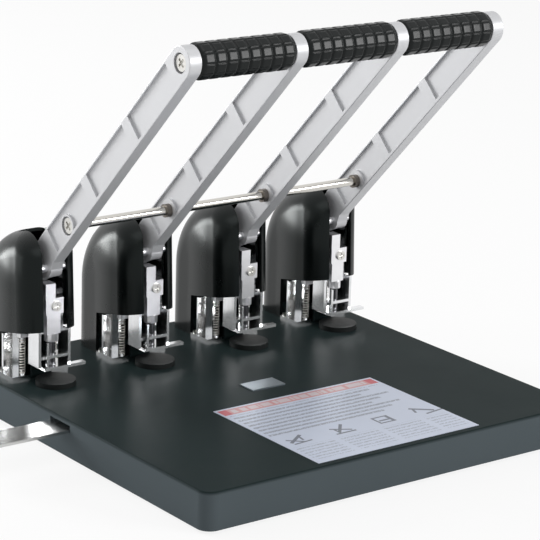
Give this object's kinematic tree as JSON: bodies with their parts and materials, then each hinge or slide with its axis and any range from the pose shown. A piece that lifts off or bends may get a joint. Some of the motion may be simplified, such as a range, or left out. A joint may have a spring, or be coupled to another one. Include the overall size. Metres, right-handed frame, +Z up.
{
  "type": "lever hole punch",
  "caption": "Desk hole punch for loose sheets: a row of covered punch heads on a wide base, pressed together by one sprung lever frame with rubber grips, and a sliding side guide rule.",
  "frame": {"origin": "middle of the rubber mat's underside, where the punch stands on the desk", "axes": "+X along the row of heads, to the right of the person at the lever; +Y to the back, from the handle towards the heads; +Z up"},
  "size_m": [0.374, 0.293, 0.2826],
  "materials": {
    "base_shell": "satin black",
    "cover_black": "gloss black",
    "arm_metal": "fine satin",
    "grip_rubber": "waffle pattern",
    "bright_rod": "bright",
    "collar_steel": "dark",
    "screw_steel": "bright zinc",
    "frame_steel": "bright sheet",
    "plunger_steel": "bright",
    "punch_steel": "hardened, oiled",
    "spring_steel": "drawn wire",
    "disc_black": "matt black",
    "card": "coated card",
    "badge": "satin",
    "plate_steel": "zinc-plated sheet",
    "mat_rubber": "soft sheet",
    "rule_steel": "satin",
    "stop_black": "matt black"
  },
  "bodies": {
    "base": {"base_cover": "base_shell", "base_plate": "plate_steel", "base_mat": "mat_rubber", "base_screws": "screw_steel", "instruction_card": "card", "badge_plate": "badge", "frame_screws": "screw_steel", "pivot_pins": "plunger_steel", "die_disc_1": "disc_black", "die_disc_2": "disc_black", "die_disc_3": "disc_black", "die_disc_4": "disc_black", "head_frame_1": "frame_steel", "head_frame_2": "frame_steel", "head_frame_3": "frame_steel", "head_frame_4": "frame_steel", "stripper_plate_1": "frame_steel", "stripper_plate_2": "frame_steel", "stripper_plate_3": "frame_steel", "stripper_plate_4": "frame_steel", "return_springs_1": "spring_steel", "return_springs_2": "spring_steel", "return_springs_3": "spring_steel", "return_springs_4": "spring_steel", "head_cover_1": "cover_black", "head_cover_2": "cover_black", "head_cover_3": "cover_black", "head_cover_4": "cover_black"},
    "lever": {"lever_arm_1": "arm_metal", "lever_arm_2": "arm_metal", "lever_arm_3": "arm_metal", "lever_arm_4": "arm_metal", "handle_grip_1": "grip_rubber", "handle_grip_2": "grip_rubber", "handle_grip_3": "grip_rubber", "toe_pins": "plunger_steel", "tie_rod": "bright_rod", "handle_rod": "bright_rod", "tie_collars": "collar_steel", "arm_screws": "screw_steel"},
    "plunger_1": {"plunger_1": "plunger_steel", "clamp_screw_1": "screw_steel", "punch_1": "punch_steel", "punch_nut_1": "plunger_steel"},
    "plunger_2": {"plunger_2": "plunger_steel", "clamp_screw_2": "screw_steel", "punch_2": "punch_steel", "punch_nut_2": "plunger_steel"},
    "plunger_3": {"plunger_3": "plunger_steel", "clamp_screw_3": "screw_steel", "punch_3": "punch_steel", "punch_nut_3": "plunger_steel"},
    "plunger_4": {"plunger_4": "plunger_steel", "clamp_screw_4": "screw_steel", "punch_4": "punch_steel", "punch_nut_4": "plunger_steel"},
    "guide": {"guide_rule": "rule_steel", "guide_stop": "stop_black"}
  },
  "joints": [
    {"name": "lever_hinge", "type": "hinge", "parent": "base", "child": "lever", "pos_m": [0, 0.096, 0.101], "axis": [1, 0, 0], "range_deg": [0, 40], "stiffness_Nm_per_rad": 2.5, "springref_deg": -28.65},
    {"name": "punch_slide_1", "type": "slide", "parent": "base", "child": "plunger_1", "axis": [0, 0, -1], "range_m": [0, 0.009], "deforming": ["return_springs_1"]},
    {"name": "punch_slide_2", "type": "slide", "parent": "base", "child": "plunger_2", "axis": [0, 0, -1], "range_m": [0, 0.009], "deforming": ["return_springs_2"]},
    {"name": "punch_slide_3", "type": "slide", "parent": "base", "child": "plunger_3", "axis": [0, 0, -1], "range_m": [0, 0.009], "deforming": ["return_springs_3"]},
    {"name": "punch_slide_4", "type": "slide", "parent": "base", "child": "plunger_4", "axis": [0, 0, -1], "range_m": [0, 0.009], "deforming": ["return_springs_4"]},
    {"name": "guide_slide", "type": "slide", "parent": "base", "child": "guide", "axis": [-1, 0, 0], "range_m": [-0.064, 0.06]}
  ],
  "couplings": [
    {"joint": "punch_slide_1", "follows": "lever_hinge", "m_per_rad": 0.012605},
    {"joint": "punch_slide_2", "follows": "lever_hinge", "m_per_rad": 0.012605},
    {"joint": "punch_slide_3", "follows": "lever_hinge", "m_per_rad": 0.012605},
    {"joint": "punch_slide_4", "follows": "lever_hinge", "m_per_rad": 0.012605}
  ]
}
